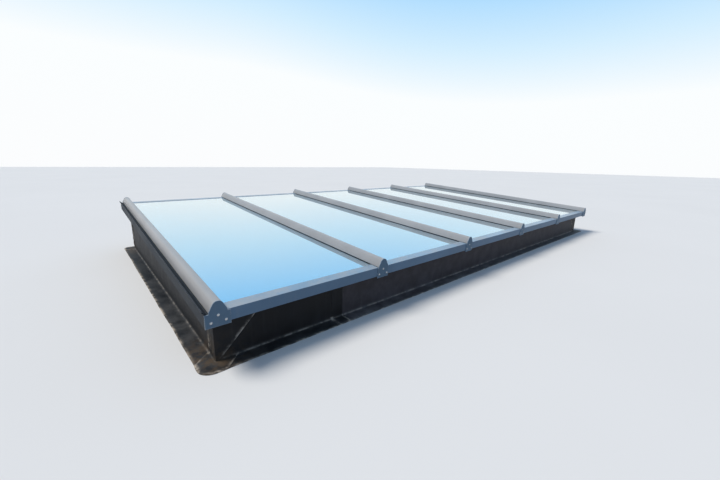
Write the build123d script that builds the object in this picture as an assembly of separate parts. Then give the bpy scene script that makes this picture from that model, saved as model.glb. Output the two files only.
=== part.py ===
from build123d import *
from math import cos, radians, sin, tan
import os

# Fixed single-slope roof skylight on a timber kerb, in millimetres.
# Sealed double-glazed units lie between aluminium glazing bars. Each bar is a rafter with a snap-on
# cap, closed at both ends by a screwed plate. Folded trims close the glass edges at the front and
# the back, flashings close the two sides, and rubber membrane is dressed up the kerb.
# X runs along the eaves, Y from the low front to the high back, Z up.
# The origin is the centre of the kerb's base, on the roof deck.

# Layout of the whole skylight
bay_pitch = 750.0
bay_count = 5
slope_angle = 3.8
kerb_depth = 1955.0
kerb_thickness = 47.0
kerb_front_height = 175.0
eaves_overhang = 70.0
top_overhang = 75.0

# Membrane on the kerb
membrane_thickness = 1.5
membrane_foot = 70.0
foot_corner_radius = 50.0
lap_seam_from_left = 563.0
lap_width = 60.0
corner_base_reach = 78.0
corner_base_inset = 3.0
corner_edge_reach = 22.0
corner_flap_root = 10.0
corner_side_width = 62.0
corner_top_gap = 2.0

# Glass units
outer_glass = 6.0
cavity = 12.0
inner_glass = 6.0
glass_to_bar = 10.0
glass_end_gap = 1.0
spacer_inset = 3.0
spacer_width = 9.0

# Rafter section
bar_wall = 2.0
foot_width = 58.0
foot_height = 20.0
stem_width = 12.0
head_width = 20.0
head_thickness = 3.0
head_chamfer = 1.2
port_bore = 2.15
port_wall = 2.2
low_port_offset = 24.0
low_port_depth = 5.0
stem_port_below_glass = 9.0

# Cap section
cap_width = 58.0
cap_rise = 40.0
cap_shoulder_width = 22.0
cap_shoulder_radius = 16.0
cap_lip = 3.0
cap_wall = 2.0
cap_foot = 10.0
head_to_cap = 8.0
clip_gap = 0.3
clip_hook = 3.0

# Gaskets
gasket_thickness = 3.0
gasket_width = 8.0
gasket_taper = 1.0
lower_gasket_offset = 20.0
upper_gasket_offset = 24.0

# End plates
plate_thickness = 3.0
plate_half_width = 34.0
plate_below_glass = 50.0
plate_cap_margin = 1.0
end_plate_outer = 43.0
end_plate_inner = 40.0

# Glass edge trims
trim_thickness = 2.0
trim_flange = 50.0
trim_face_below_glass = 42.0
trim_lower_leg = 15.0
trim_drip = 5.0
trim_end_gap = 0.5

# Side flashings and packers
flashing_thickness = 2.0
flashing_tuck = 15.0
flashing_bend = 34.0
flashing_offset = 43.0
flashing_lip_length = 20.0
flashing_lip_angle = 45.0
flashing_below_glass = 50.0
packer_wall = 2.5

# Fasteners. Threaded shanks and the holes for them have flats like the heads', in place of a round wall.
screw_sides = 6
screw_clearance = 0.1
plate_screw_shank = 2.0
plate_screw_length = 25.0
plate_screw_head = 4.6
plate_screw_head_height = 2.6
plate_hole = 2.5
rafter_screw_offset = 10.6
rafter_screw_shank = 2.5
rafter_screw_head = 4.0
rafter_screw_head_height = 2.4
rafter_screw_embedment = 42.0
kerb_screw_shank = 3.0
kerb_screw_head = 6.0
kerb_screw_head_height = 4.0
kerb_screw_length = 110.0
kerb_screw_low = 45.0
kerb_screw_below_top = 80.0

# Derived places. The layout frame has Y up the slope from the kerb's front top edge, and Z square to it.
slope = radians(slope_angle)
kerb_width = bay_pitch * bay_count
kerb_run = kerb_depth / cos(slope)
bar_start = -eaves_overhang
bar_length = eaves_overhang + kerb_run + top_overhang
bar_end = bar_start + bar_length
foot_base = membrane_thickness
foot_top = foot_base + foot_height
glass_base = foot_top + gasket_thickness
glass_top = glass_base + outer_glass + cavity + inner_glass
cap_base = glass_top + gasket_thickness
cap_top = glass_top + cap_rise
stem_top = cap_top - cap_wall - head_to_cap
low_port_height = foot_top - low_port_depth
stem_port_height = glass_top - stem_port_below_glass
bar_half = max(foot_width, cap_width) / 2
packer_outer = flashing_offset - flashing_thickness


def bar_centre(bar):
    return bay_pitch * bar - kerb_width / 2


def outward(bar):
    """-1 at the left end bar, 1 at the right one, 0 between them."""
    if bar == 0:
        return -1
    return 1 if bar == bay_count else 0


def kerb_top(y):
    """Height of the kerb's top at a place between its front (-kerb_depth / 2) and its back."""
    return kerb_front_height + (y + kerb_depth / 2) * tan(slope)


def on_slope(shape):
    """Carry a shape from the layout frame onto the sloping kerb."""
    return Location((0, -kerb_depth / 2, kerb_front_height), (slope_angle, 0, 0)) * shape


def band(width, low, high, centre=0.0):
    """Rectangle of a section, between two heights."""
    return Pos(centre, (low + high) / 2) * Rectangle(width, high - low)


def outline(*points):
    return make_face(Polyline(*points, close=True))


def along_slope(section, start, length):
    """Extrude a section drawn as (across, height) up the slope."""
    return extrude(Plane.XZ.offset(-start) * section, amount=-length)


def along_eaves(section, start, length):
    """Extrude a section drawn as (up the slope, height) from left to right."""
    return extrude(Plane.YZ.offset(start) * section, amount=length)


def block(x_low, x_high, y_low, y_high, z_low, z_high):
    """Box between six faces."""
    middle = ((x_low + x_high) / 2, (y_low + y_high) / 2, (z_low + z_high) / 2)
    return Pos(*middle) * Box(x_high - x_low, y_high - y_low, z_high - z_low)


def mirrored_back(shape):
    """Mirror a shape in the layout frame from the front end of the bars to the back end."""
    return mirror(shape, Plane.XZ.offset(-(bar_start + bar_end) / 2))


def several(solids):
    return Compound(children=list(solids))


# Fasteners

def screw_outline(radius):
    return RegularPolygon(radius, screw_sides)


def hexagon_screw(shank_radius, shank_length, head_radius, head_height):
    """Screw whose head stands on the XY plane and whose shank runs down -Z."""
    head = extrude(screw_outline(head_radius), amount=head_height)
    return head + extrude(screw_outline(shank_radius), amount=-shank_length)


def countersunk_screw(extra=0.0):
    """Wood screw whose flat head is flush with the XY plane; extra widens it into its own hole."""
    rim = screw_outline(kerb_screw_head + extra)
    neck = Pos(0, 0, -kerb_screw_head_height) * screw_outline(kerb_screw_shank + extra)
    return loft([rim, neck]) + extrude(neck, amount=kerb_screw_head_height - kerb_screw_length - extra)


def kerb_screw_places():
    """Heads on the outer faces of the side boards, driven into the ends of the front and back boards."""
    for side in (-1, 1):
        turn = 90 * side
        for end in (-1, 1):
            y = end * (kerb_depth - kerb_thickness) / 2
            for z in (kerb_screw_low, kerb_top(y) - kerb_screw_below_top):
                yield Location((side * kerb_width / 2, y, z), (0, turn, 0))


def rafter_screw_places():
    """Heads on the rafter's foot beside its stem, over the front and back boards of the kerb."""
    for bar in range(bay_count + 1):
        side = -1 if bar == bay_count else 1
        x = bar_centre(bar) + side * rafter_screw_offset
        for y in (kerb_thickness / 2, kerb_run - kerb_thickness / 2):
            yield Pos(x, y, foot_top)


def rafter_screw_holes():
    depth = foot_height + membrane_thickness + rafter_screw_embedment + screw_clearance
    drill = extrude(screw_outline(rafter_screw_shank + screw_clearance), amount=-depth)
    return [place * drill for place in rafter_screw_places()]


def port_places(x=0.0):
    """Screw ports of a rafter centred on x, as (across, height): two in its foot, one in its stem."""
    return [
        (x - low_port_offset, low_port_height),
        (x + low_port_offset, low_port_height),
        (x, stem_port_height),
    ]


# Timber kerb

def kerb_boards():
    """Four boards, the front and back ones between the two side ones."""
    front, back = -kerb_depth / 2, kerb_depth / 2

    def board_section(y_low, y_high):
        return outline((y_low, 0), (y_high, 0), (y_high, kerb_top(y_high)), (y_low, kerb_top(y_low)))

    inner_width = kerb_width - 2 * kerb_thickness
    cheek = board_section(front, back)
    low_board = board_section(front, front + kerb_thickness)
    high_board = board_section(back - kerb_thickness, back)
    boards = {
        "kerb_left": along_eaves(cheek, -kerb_width / 2, kerb_thickness),
        "kerb_right": along_eaves(cheek, kerb_width / 2 - kerb_thickness, kerb_thickness),
        "kerb_front": along_eaves(low_board, -inner_width / 2, inner_width),
        "kerb_back": along_eaves(high_board, -inner_width / 2, inner_width),
    }
    holes = [on_slope(hole) for hole in rafter_screw_holes()]
    holes += [place * countersunk_screw(screw_clearance) for place in kerb_screw_places()]
    return {node: board - holes for node, board in boards.items()}


# Rubber membrane dressed over the kerb

def skirt_section(layer=0):
    """Foot and wall of the front membrane, drawn as (Y, Z); layer 1 lies outside layer 0."""
    face = -kerb_depth / 2 - layer * membrane_thickness
    low = layer * membrane_thickness
    out = face - membrane_thickness
    toe = -kerb_depth / 2 - membrane_foot
    rise = membrane_thickness / cos(slope) if layer == 0 else -corner_top_gap
    return outline(
        (toe, low),
        (face, low),
        (face, kerb_top(face) + rise),
        (out, kerb_top(out) + rise),
        (out, low + membrane_thickness),
        (toe, low + membrane_thickness),
    )


def lap_section(y_low, y_high):
    """Strip of membrane turned over the kerb's top, drawn as (Y, Z)."""
    rise = membrane_thickness / cos(slope)
    return outline(
        (y_low, kerb_top(y_low)),
        (y_high, kerb_top(y_high)),
        (y_high, kerb_top(y_high) + rise),
        (y_low, kerb_top(y_low) + rise),
    )


def foot_corner(side, end):
    """Square of membrane foot at a corner of the kerb, with its outer corner rounded."""
    x_low, x_high = sorted(side * (kerb_width / 2 + out) for out in (membrane_thickness, membrane_foot))
    y_low, y_high = sorted(end * (kerb_depth / 2 + out) for out in (membrane_thickness, membrane_foot))
    corner = block(x_low, x_high, y_low, y_high, 0, membrane_thickness)
    upright = corner.edges().filter_by(Axis.Z)
    outermost = max(upright, key=lambda edge: side * edge.center().X + end * edge.center().Y)
    return fillet(outermost, foot_corner_radius)


def front_membranes():
    """Two front sheets: the left one laps over the right one at the seam."""
    left = -kerb_width / 2 - membrane_thickness
    right = -left
    seam = -kerb_width / 2 + lap_seam_from_left
    lap_start = seam - lap_width
    lap_run = lap_section(-kerb_depth / 2, -kerb_depth / 2 + kerb_thickness)
    inner_left = -kerb_width / 2 + kerb_thickness
    left_sheet = along_eaves(skirt_section(), left, lap_start - left)
    step = lap_start - membrane_thickness
    left_sheet += along_eaves(skirt_section(1), step, seam - step)
    left_sheet += along_eaves(lap_run, inner_left, lap_start - inner_left)
    left_sheet += foot_corner(-1, -1)
    right_sheet = along_eaves(skirt_section(), lap_start, right - lap_start)
    right_sheet += along_eaves(lap_run, lap_start, -inner_left - lap_start)
    right_sheet += foot_corner(1, -1)
    return left_sheet, right_sheet


def back_membrane():
    """Sheet on the high back face, turned over the kerb's top and out onto the deck."""
    face = kerb_depth / 2
    out = face + membrane_thickness
    toe = face + membrane_foot
    rise = membrane_thickness / cos(slope)
    section = outline(
        (toe, 0),
        (face, 0),
        (face, kerb_top(face) + rise),
        (out, kerb_top(face) + rise),
        (out, membrane_thickness),
        (toe, membrane_thickness),
    )
    half_width = kerb_width / 2 + membrane_thickness
    sheet = along_eaves(section, -half_width, 2 * half_width)
    inner_half = kerb_width / 2 - kerb_thickness
    sheet += along_eaves(lap_section(face - kerb_thickness, face), -inner_half, 2 * inner_half)
    return sheet + foot_corner(-1, 1) + foot_corner(1, 1)


def side_membrane(side):
    """Sheet on a side face: a tapered wall, a foot, and a lap over the cheek's top."""
    front, back = -kerb_depth / 2, kerb_depth / 2
    rise = membrane_thickness / cos(slope)
    face = side * kerb_width / 2
    out = face + side * membrane_thickness
    inner = face - side * kerb_thickness
    toe = face + side * membrane_foot
    wall = outline((front, 0), (back, 0), (back, kerb_top(back) + rise), (front, kerb_top(front) + rise))
    sheet = along_eaves(wall, min(face, out), membrane_thickness)
    sheet += along_eaves(lap_section(front, back), min(face, inner), kerb_thickness)
    y_reach = back + membrane_thickness
    sheet += block(min(out, toe), max(out, toe), -y_reach, y_reach, 0, membrane_thickness)
    return sheet


def corner_patch(side, end):
    """Second layer at a corner: a rounded base, a strip up the side and a folded triangular flap.

    It is drawn for the corner whose faces look along X and Y, and mirrored to the other corners.
    """
    t = membrane_thickness
    reach = membrane_foot - corner_base_inset

    def top(out):
        """Height of the patch at a distance out from the kerb's end face."""
        return kerb_top(end * (kerb_depth / 2 + out)) - corner_top_gap

    base = outline(
        (t, t),
        (-corner_base_reach, t),
        (-corner_edge_reach, reach),
        (reach, reach),
        (reach, -corner_edge_reach),
        (t, -corner_base_reach),
    )
    tip = base.vertices().sort_by(lambda vertex: vertex.X + vertex.Y)[-1]
    patch = extrude(Pos(0, 0, t) * fillet(tip, foot_corner_radius - corner_base_inset), t)
    flap_top = top(2 * t)
    flap = outline(
        (2 * t, t),
        (-corner_flap_root, t),
        (-corner_flap_root, 2 * t),
        (-corner_flap_root - flap_top + 2 * t, flap_top),
        (2 * t, flap_top),
    )
    patch += extrude(Plane.XZ.offset(-2 * t) * flap, t)
    strip = outline(
        (2 * t, t),
        (-corner_side_width, t),
        (-corner_side_width, top(-corner_side_width)),
        (2 * t, flap_top),
    )
    patch += extrude(Plane.YZ.offset(t) * strip, t)
    if side < 0:
        patch = mirror(patch, Plane.YZ)
    if end < 0:
        patch = mirror(patch, Plane.XZ)
    return Pos(side * kerb_width / 2, end * kerb_depth / 2, 0) * patch


# Glazing bars

def rafter_section():
    """Hollow foot, hollow stem and clip head, with three screw ports that run the whole length.

    Two ports are bored in thick corners of the foot and one in a solid stretch of the stem.
    """
    ports = port_places()
    section = band(foot_width, foot_base, foot_top)
    section -= band(foot_width - 2 * bar_wall, foot_base + bar_wall, foot_top - bar_wall)
    section += band(stem_width, foot_top, stem_top)
    port_outer = port_bore + port_wall
    section -= band(stem_width - 2 * bar_wall, foot_top, stem_port_height - port_outer)
    section -= band(stem_width - 2 * bar_wall, stem_port_height + port_outer, stem_top - head_thickness)
    head = band(head_width, stem_top - head_thickness, stem_top)
    section += chamfer(head.vertices().group_by(Axis.Y)[-1], head_chamfer)
    for side in (-1, 1):
        section += band(2 * port_outer, low_port_height - port_outer, foot_top, side * low_port_offset)
    for place in ports:
        section -= Pos(*place) * screw_outline(port_bore)
    return section


def cap_outline():
    """Outside of the cap: a short upright lip, sloping flanks and rounded shoulders."""
    half, shoulder = cap_width / 2, cap_shoulder_width / 2
    shape = outline(
        (-half, cap_base),
        (half, cap_base),
        (half, cap_base + cap_lip),
        (shoulder, cap_top),
        (-shoulder, cap_top),
        (-half, cap_base + cap_lip),
    )
    return fillet(shape.vertices().group_by(Axis.Y)[-1], cap_shoulder_radius)


def cap_section():
    """Thin-walled cap with two feet on the gaskets and two clips round the rafter's head."""
    outside = cap_outline()
    section = outside - offset(outside, -cap_wall)
    section -= band(cap_width - 2 * cap_foot, cap_base, cap_base + cap_wall)
    within_wall = offset(outside, -cap_wall / 2)
    leg_inner = head_width / 2 + clip_gap
    hook_top = stem_top - head_thickness - clip_gap
    hook_base = hook_top - cap_wall
    for side in (-1, 1):
        leg = band(cap_wall, hook_base, cap_top - cap_wall, side * (leg_inner + cap_wall / 2))
        hook = band(clip_hook, hook_base, hook_top, side * (leg_inner - clip_hook / 2))
        section += (leg & within_wall) + hook
    return section


def gasket_section(centre, low, high):
    """Rubber strip, a little narrower at its top."""
    half = gasket_width / 2
    return outline(
        (centre - half, low),
        (centre + half, low),
        (centre + half - gasket_taper, high),
        (centre - half + gasket_taper, high),
    )


def gaskets(offset_from_bar, low, high):
    """Two strips along every bar."""
    strips = []
    for bar in range(bay_count + 1):
        for side in (-1, 1):
            section = gasket_section(bar_centre(bar) + side * offset_from_bar, low, high)
            strips.append(along_slope(section, bar_start, bar_length))
    return strips


def end_plate(bar):
    """Front plate: a rectangle over the bar's end and the trims, with the cap's dome above it."""
    x = bar_centre(bar)
    left = {-1: end_plate_outer, 0: plate_half_width, 1: end_plate_inner}[outward(bar)]
    right = {-1: end_plate_inner, 0: plate_half_width, 1: end_plate_outer}[outward(bar)]
    low = glass_top - plate_below_glass
    face = outline((x - left, low), (x + right, low), (x + right, glass_top), (x - left, glass_top))
    neck = band(cap_width + 2 * plate_cap_margin, glass_top, cap_base, x)
    face += neck + Pos(x, 0) * offset(cap_outline(), plate_cap_margin, kind=Kind.INTERSECTION)
    for centre in port_places(x):
        face -= Pos(*centre) * screw_outline(plate_hole)
    return along_slope(face, bar_start - plate_thickness, plate_thickness)


def end_plate_screws(bar):
    """Three screws through the front plate into the rafter's ports."""
    screw = hexagon_screw(
        plate_screw_shank, plate_screw_length, plate_screw_head, plate_screw_head_height
    )
    seat = bar_start - plate_thickness
    return [Location((x, seat, z), (90, 0, 0)) * screw for x, z in port_places(bar_centre(bar))]


# Glass units

def pane(bay, low, high):
    x_low = bar_centre(bay) + glass_to_bar
    x_high = bar_centre(bay + 1) - glass_to_bar
    end_gap = trim_thickness + glass_end_gap
    return block(x_low, x_high, bar_start + end_gap, bar_end - end_gap, low, high)


def spacer_frame(bay):
    """Ring between the two panes of a unit."""
    low = glass_base + inner_glass
    whole = pane(bay, low, low + cavity)
    size = whole.bounding_box().size
    centre = whole.center()
    outer = Box(size.X - 2 * spacer_inset, size.Y - 2 * spacer_inset, cavity)
    inner_inset = 2 * (spacer_inset + spacer_width)
    inner = Box(size.X - inner_inset, size.Y - inner_inset, cavity)
    return Pos(*centre) * (outer - inner)


# Closures round the edge of the glass

def front_trim(bay):
    """Folded trim over the front edge of a glass unit: top flange, face with a drip, lower leg."""
    t = trim_thickness
    face = bar_start
    low = glass_top - trim_face_below_glass
    section = outline(
        (face, glass_top + t),
        (face + trim_flange, glass_top + t),
        (face + trim_flange, glass_top),
        (face + t, glass_top),
        (face + t, glass_base),
        (face + t + trim_lower_leg, glass_base),
        (face + t + trim_lower_leg, glass_base - t),
        (face + t, glass_base - t),
        (face + t, low + t),
        (face + t + trim_drip, low + t),
        (face + t + trim_drip, low),
        (face, low),
    )
    start = bar_centre(bay) + bar_half + trim_end_gap
    return along_eaves(section, start, bay_pitch - 2 * (bar_half + trim_end_gap))


def closure(bay):
    """Block between two rafters that fills the height from the kerb to the glass."""
    start = bar_centre(bay) + foot_width / 2
    return block(start, start + bay_pitch - foot_width, 0, kerb_thickness, foot_base, glass_base)


def side_flashing(side):
    """Folded flashing beside an end bar: a flange tucked under the cap's gasket, a lip and a hanging face.

    The lip rises at a slant past the hanging face and is doubled back under itself.
    """
    t = flashing_thickness
    x = side * kerb_width / 2
    low = glass_top - flashing_below_glass
    lean = radians(flashing_lip_angle)
    rise = tan(lean)
    tip = (flashing_bend + flashing_lip_length * cos(lean), glass_top + flashing_lip_length * sin(lean))
    hem = (tip[0] + 2 * t * sin(lean), tip[1] - 2 * t * cos(lean))
    inner_bend = flashing_bend + t * tan(lean / 2)
    points = [
        (flashing_tuck, glass_top),
        (flashing_bend, glass_top),
        tip,
        hem,
        (flashing_offset, hem[1] - (hem[0] - flashing_offset) * rise),
        (flashing_offset, low),
        (packer_outer, low),
        (packer_outer, glass_top - t + (packer_outer - inner_bend) * rise),
        (inner_bend, glass_top - t),
        (flashing_tuck, glass_top - t),
    ]
    return along_slope(outline(*[(x + side * out, z) for out, z in points]), bar_start, bar_length)


def edge_packer(side):
    """Hollow packer that takes the place of glass on the outer side of an end bar."""
    x = side * (kerb_width / 2 + (glass_to_bar + packer_outer) / 2)
    width = packer_outer - glass_to_bar
    high = glass_top - flashing_thickness
    section = band(width, glass_base, high, x)
    section -= band(width - 2 * packer_wall, glass_base + packer_wall, high - packer_wall, x)
    return along_slope(section, bar_start, bar_length)


def build():
    """Every node of the skylight, by name."""
    bars = range(bay_count + 1)
    bays = range(bay_count)
    nodes = kerb_boards()

    left_sheet, right_sheet = front_membranes()
    holes = [on_slope(hole) for hole in rafter_screw_holes()]
    nodes["membrane_front_left"] = left_sheet - holes
    nodes["membrane_front_right"] = right_sheet - holes
    nodes["membrane_back"] = back_membrane() - holes
    nodes["membrane_left"] = side_membrane(-1) - holes
    nodes["membrane_right"] = side_membrane(1) - holes
    for end, end_name in ((-1, "front"), (1, "back")):
        for side, side_name in ((-1, "left"), (1, "right")):
            nodes[f"membrane_corner_{end_name}_{side_name}"] = corner_patch(side, end)

    rafter = along_slope(rafter_section(), bar_start, bar_length)
    cap = along_slope(cap_section(), bar_start, bar_length)
    for bar in bars:
        place = Pos(bar_centre(bar), 0, 0)
        nodes[f"rafter_{bar + 1}"] = on_slope(place * rafter - rafter_screw_holes())
        nodes[f"bar_cap_{bar + 1}"] = on_slope(place * cap)
        nodes[f"front_end_plate_{bar + 1}"] = on_slope(end_plate(bar))
    nodes["back_end_plates"] = several(on_slope(mirrored_back(end_plate(bar))) for bar in bars)

    for bay in bays:
        outer_low = glass_top - outer_glass
        nodes[f"outer_pane_{bay + 1}"] = on_slope(pane(bay, outer_low, glass_top))
        nodes[f"inner_pane_{bay + 1}"] = on_slope(pane(bay, glass_base, glass_base + inner_glass))
        nodes[f"front_trim_{bay + 1}"] = on_slope(front_trim(bay))
    nodes["spacer_frames"] = several(on_slope(spacer_frame(bay)) for bay in bays)
    nodes["back_trims"] = several(on_slope(mirrored_back(front_trim(bay))) for bay in bays)
    nodes["front_closures"] = several(on_slope(closure(bay)) for bay in bays)
    back_shift = Pos(0, kerb_run - kerb_thickness, 0)
    nodes["back_closures"] = several(on_slope(back_shift * closure(bay)) for bay in bays)

    for side, side_name in ((-1, "left"), (1, "right")):
        nodes[f"side_flashing_{side_name}"] = on_slope(side_flashing(side))
        nodes[f"edge_packer_{side_name}"] = on_slope(edge_packer(side))
    lower = gaskets(lower_gasket_offset, foot_top, glass_base)
    upper = gaskets(upper_gasket_offset, glass_top, cap_base)
    nodes["lower_gaskets"] = several(on_slope(strip) for strip in lower)
    nodes["upper_gaskets"] = several(on_slope(strip) for strip in upper)

    front_screws = [screw for bar in bars for screw in end_plate_screws(bar)]
    all_plate_screws = front_screws + [mirrored_back(screw) for screw in front_screws]
    nodes["end_plate_screws"] = several(on_slope(screw) for screw in all_plate_screws)
    rafter_screw = hexagon_screw(
        rafter_screw_shank,
        foot_height + membrane_thickness + rafter_screw_embedment,
        rafter_screw_head,
        rafter_screw_head_height,
    )
    nodes["rafter_screws"] = several(on_slope(place * rafter_screw) for place in rafter_screw_places())
    nodes["kerb_screws"] = several(place * countersunk_screw() for place in kerb_screw_places())
    return nodes


os.makedirs("parts", exist_ok=True)
for node, shape in build().items():
    export_step(shape, f"parts/{node}.step")
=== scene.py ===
import math

import bmesh
import bpy
import numpy as np
from mathutils import Matrix, Vector, noise


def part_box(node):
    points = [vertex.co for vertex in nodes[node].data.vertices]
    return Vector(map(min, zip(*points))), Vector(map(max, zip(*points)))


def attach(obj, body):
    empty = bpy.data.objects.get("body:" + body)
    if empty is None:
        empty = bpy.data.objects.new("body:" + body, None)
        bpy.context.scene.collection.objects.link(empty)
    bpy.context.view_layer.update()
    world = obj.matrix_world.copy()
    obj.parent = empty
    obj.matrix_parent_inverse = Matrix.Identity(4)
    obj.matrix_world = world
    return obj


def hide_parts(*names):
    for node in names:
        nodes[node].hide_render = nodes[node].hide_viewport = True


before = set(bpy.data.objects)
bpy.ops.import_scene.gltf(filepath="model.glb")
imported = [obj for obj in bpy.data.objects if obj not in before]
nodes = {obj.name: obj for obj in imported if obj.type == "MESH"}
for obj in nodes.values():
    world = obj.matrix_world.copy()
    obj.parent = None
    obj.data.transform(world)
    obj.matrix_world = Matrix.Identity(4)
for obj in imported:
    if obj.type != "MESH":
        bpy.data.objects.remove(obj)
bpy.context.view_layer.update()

print("frame loaded:", len(nodes), "nodes")

# Sizes that the frame gives, in metres. The kerb is a rectangle about the origin.
hairline = 0.0001            # places closer than this count as one
kerbLow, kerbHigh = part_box("kerb_left")
halfWidth = -kerbLow.x
halfDepth = -kerbLow.y
cheek = [vertex.co for vertex in nodes["kerb_left"].data.vertices]
frontHeight = max(point.z for point in cheek if point.y < kerbLow.y + hairline)
slopeAngle = math.atan2(kerbHigh.z - frontHeight, 2 * halfDepth)


# Camera at the photograph's place. It comes first.
view = {
    "place": (-2.1646, -2.0757, 0.6979),
    "lens": 16.24,
    "sensor": 36.0,
    "yaw": 0.7167,       # turned from +Y towards +X
    "pitch": 0.2368,     # looking down
    "roll": -0.0158,
}


def placeCamera():
    yaw, pitch, roll = view["yaw"], view["pitch"], view["roll"]
    ahead = Vector((math.sin(yaw) * math.cos(pitch), math.cos(yaw) * math.cos(pitch), -math.sin(pitch)))
    level = Vector((math.cos(yaw), -math.sin(yaw), 0))
    down = ahead.cross(level)
    right = level * math.cos(roll) + down * math.sin(roll)
    down = down * math.cos(roll) - level * math.sin(roll)
    lens = bpy.data.cameras.new("camera")
    lens.lens = view["lens"]
    lens.sensor_width = view["sensor"]
    lens.sensor_fit = "HORIZONTAL"
    camera = bpy.data.objects.new("camera", lens)
    turn = Matrix([[right[i], -down[i], -ahead[i]] for i in range(3)])
    camera.matrix_world = Matrix.Translation(view["place"]) @ turn.to_4x4()
    bpy.context.scene.collection.objects.link(camera)
    bpy.context.scene.camera = camera


print("placing the camera")
placeCamera()
bpy.context.scene.view_settings.view_transform = "Standard"


# Small helpers for node trees
def addNode(tree, kind, inputs=None, **settings):
    node = tree.nodes.new(kind)
    for key, value in settings.items():
        setattr(node, key, value)
    for key, value in (inputs or {}).items():
        node.inputs[key].default_value = value
    return node


def feed(tree, socket, value):
    # A colour or a number is set on the socket, and another node's output is linked to it
    if isinstance(value, tuple):
        socket.default_value = (*value, 1)
    elif isinstance(value, (int, float)):
        socket.default_value = value
    else:
        tree.links.new(value, socket)


def mathNode(tree, operation, first, second, clamp=False):
    node = addNode(tree, "ShaderNodeMath", operation=operation, use_clamp=clamp)
    feed(tree, node.inputs[0], first)
    feed(tree, node.inputs[1], second)
    return node.outputs[0]


def multiply(tree, first, second):
    return mathNode(tree, "MULTIPLY", first, second)


def remap(tree, value, low, high, lowTo=0.0, highTo=1.0):
    node = addNode(tree, "ShaderNodeMapRange", interpolation_type="SMOOTHSTEP")
    for socket, given in zip(node.inputs, (value, low, high, lowTo, highTo)):
        feed(tree, socket, given)
    return node.outputs[0]


def mixColour(tree, factor, first, second):
    node = addNode(tree, "ShaderNodeMix", data_type="RGBA")
    feed(tree, node.inputs[0], factor)
    feed(tree, node.inputs[6], first)       # inputs 6 and 7 are the two colours
    feed(tree, node.inputs[7], second)
    return node.outputs[2]


def noiseNode(tree, scale, detail, rough, vector=None):
    node = addNode(tree, "ShaderNodeTexNoise", {"Detail": detail, "Roughness": rough})
    feed(tree, node.inputs["Scale"], scale)
    if vector is None:
        vector = addNode(tree, "ShaderNodeTexCoord").outputs["Object"]
    tree.links.new(vector, node.inputs["Vector"])
    return node.outputs["Fac"]


def stretched(tree, x, y, z):
    coords = addNode(tree, "ShaderNodeTexCoord").outputs["Object"]
    node = addNode(tree, "ShaderNodeMapping", {"Scale": (x, y, z)})
    tree.links.new(coords, node.inputs["Vector"])
    return node.outputs["Vector"]


def newGroup(name, inputs, outputs):
    tree = bpy.data.node_groups.new(name, "ShaderNodeTree")
    for socketName, value in inputs.items():
        socket = tree.interface.new_socket(socketName, in_out="INPUT", socket_type="NodeSocketFloat")
        socket.default_value = value
    for socketName in outputs:
        tree.interface.new_socket(socketName, in_out="OUTPUT", socket_type="NodeSocketFloat")
    return tree, addNode(tree, "NodeGroupInput"), addNode(tree, "NodeGroupOutput")


# Effects that several materials share
effects = {
    "swell": 0.35,           # share of the coarse grain in the height
    "speckScale": 22.0,      # how much finer the specks of dust are than its clouds
    "speckShare": 0.5,
    # the paler edges stand for wear and for a painted highlight alike
    "wearAndHighlightTurn": (0.97, 0.80),    # cosines of the turn at an edge where wear starts and is full
    "wearAndHighlightLeast": 0.25,
    "streakLength": 0.07,    # scale down the face against 1 across it
    "streakPatches": 2.2,
}


def makeGrainGroup():
    tree, given, made = newGroup("fineGrain", {"Scale": 400.0, "Coarse": 40.0}, ["Height", "Tone"])
    fine = noiseNode(tree, given.outputs["Scale"], detail=2.0, rough=0.6)
    coarse = noiseNode(tree, given.outputs["Coarse"], detail=4.0, rough=0.6)
    height = mathNode(tree, "ADD", fine, multiply(tree, coarse, effects["swell"]))
    tree.links.new(height, made.inputs["Height"])
    tree.links.new(coarse, made.inputs["Tone"])
    return tree


def makeDustGroup():
    # Mask is the dust. Level is 1 on faces that look straight up, and 0 where the normal's Z is under Facing.
    inputs = {"Scale": 6.0, "Cover": 0.5, "Facing": 0.5}
    tree, given, made = newGroup("settledDust", inputs, ["Mask", "Level"])
    shape = addNode(tree, "ShaderNodeNewGeometry")
    parts = addNode(tree, "ShaderNodeSeparateXYZ")
    tree.links.new(shape.outputs["Normal"], parts.inputs[0])
    level = remap(tree, parts.outputs["Z"], given.outputs["Facing"], 1.0)
    cloud = noiseNode(tree, given.outputs["Scale"], detail=7.0, rough=0.68)
    speckScale = multiply(tree, given.outputs["Scale"], effects["speckScale"])
    specks = noiseNode(tree, speckScale, detail=3.0, rough=0.7)
    clouds = remap(tree, cloud, low=0.38, high=0.68)
    specks = remap(tree, specks, low=0.55, high=0.75, highTo=effects["speckShare"])
    blend = mathNode(tree, "ADD", clouds, specks)
    mask = multiply(tree, multiply(tree, blend, given.outputs["Cover"]), level)
    tree.links.new(mathNode(tree, "MINIMUM", mask, 1.0), made.inputs["Mask"])
    tree.links.new(level, made.inputs["Level"])
    return tree


# Paler edges: wear of the coat, and a painted highlight where an edge catches the light
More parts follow.
